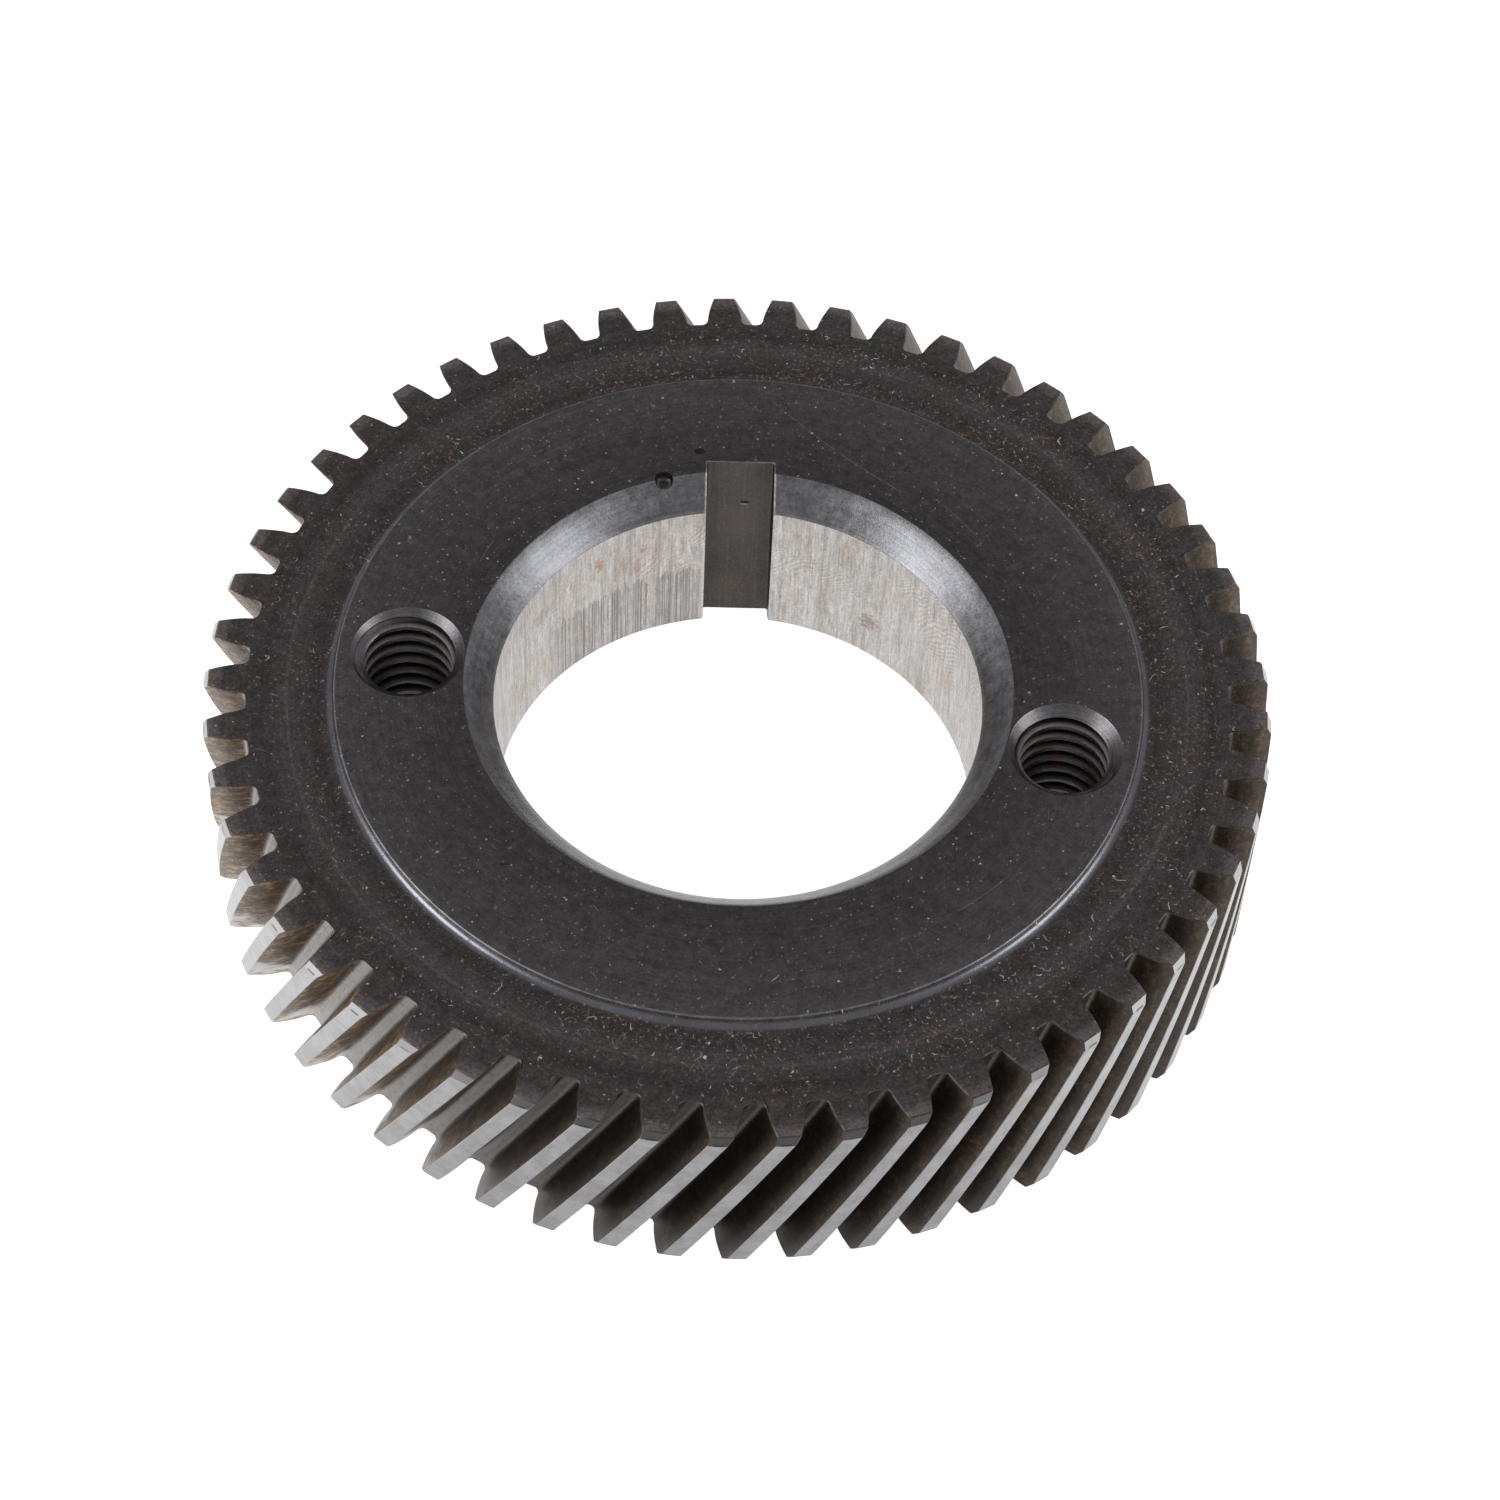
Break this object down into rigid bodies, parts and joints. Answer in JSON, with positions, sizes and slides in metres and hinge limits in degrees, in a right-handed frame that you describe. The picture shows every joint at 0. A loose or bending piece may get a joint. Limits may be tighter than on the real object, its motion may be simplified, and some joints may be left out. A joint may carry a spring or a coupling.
{
  "type": "helical gear",
  "caption": "Right-hand helical gear, one machined steel piece, with a chamfered keyed bore, raised hub faces and countersunk tapped puller holes.",
  "frame": {"origin": "on the gear's axis, in the plane of the back hub face", "axes": "+Z along the gear's axis towards the front hub face; +Y through the middle of the keyway"},
  "size_m": [0.061, 0.061, 0.0137],
  "materials": {
    "blackened_steel": "oil-blackened turned and hobbed steel, semi-matt, dusty; bore wall ground bright; tooth tips and flanks worn to grey metal with brown oil film"
  },
  "bodies": {
    "root": {"helical_gear": "blackened_steel"}
  },
  "joints": []
}
